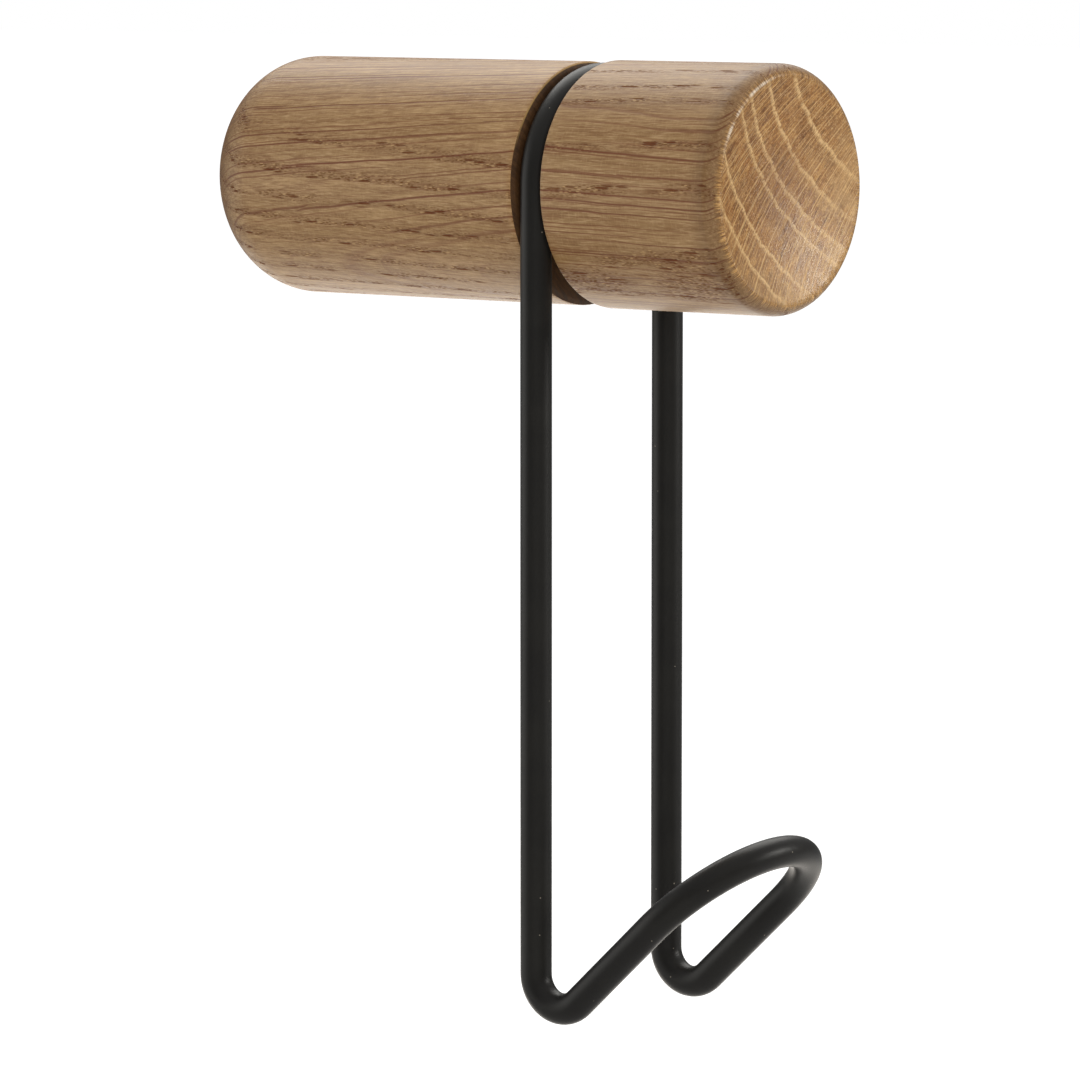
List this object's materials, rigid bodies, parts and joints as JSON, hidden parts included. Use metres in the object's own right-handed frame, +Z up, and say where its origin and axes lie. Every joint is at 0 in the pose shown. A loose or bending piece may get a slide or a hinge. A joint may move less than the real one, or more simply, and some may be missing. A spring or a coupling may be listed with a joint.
{
  "type": "wall hook",
  "caption": "Round oak peg for a wall, with a separate oak end knob and a black steel wire loop that swings in the groove between them and turns up into a hook.",
  "frame": {"origin": "centre of the peg's back end, on the wall, at the mouth of its threaded insert", "axes": "+Z up, -Y straight out of the wall along the peg, +X to the side; the wall is the plane y = 0"},
  "size_m": [0.04, 0.1114, 0.1546],
  "materials": {
    "oak": "natural oak with a thin matt oil, end grain a little darker and warmer",
    "black_coating": "satin black powder coating",
    "zinc_steel": "bright zinc plating",
    "brass": "machined brass"
  },
  "bodies": {
    "peg": {"rear_peg": "oak", "neck_collar": "oak", "front_knob": "oak", "joining_stud": "zinc_steel", "peg_insert": "brass", "knob_insert": "brass", "wall_insert": "brass"},
    "hook": {"wire_hook": "black_coating"}
  },
  "joints": [
    {"name": "hook_swing", "type": "hinge", "parent": "peg", "child": "hook", "pos_m": [0, -0.0725, 0], "axis": [0, 1, 0], "range_deg": [-90, 90]}
  ]
}
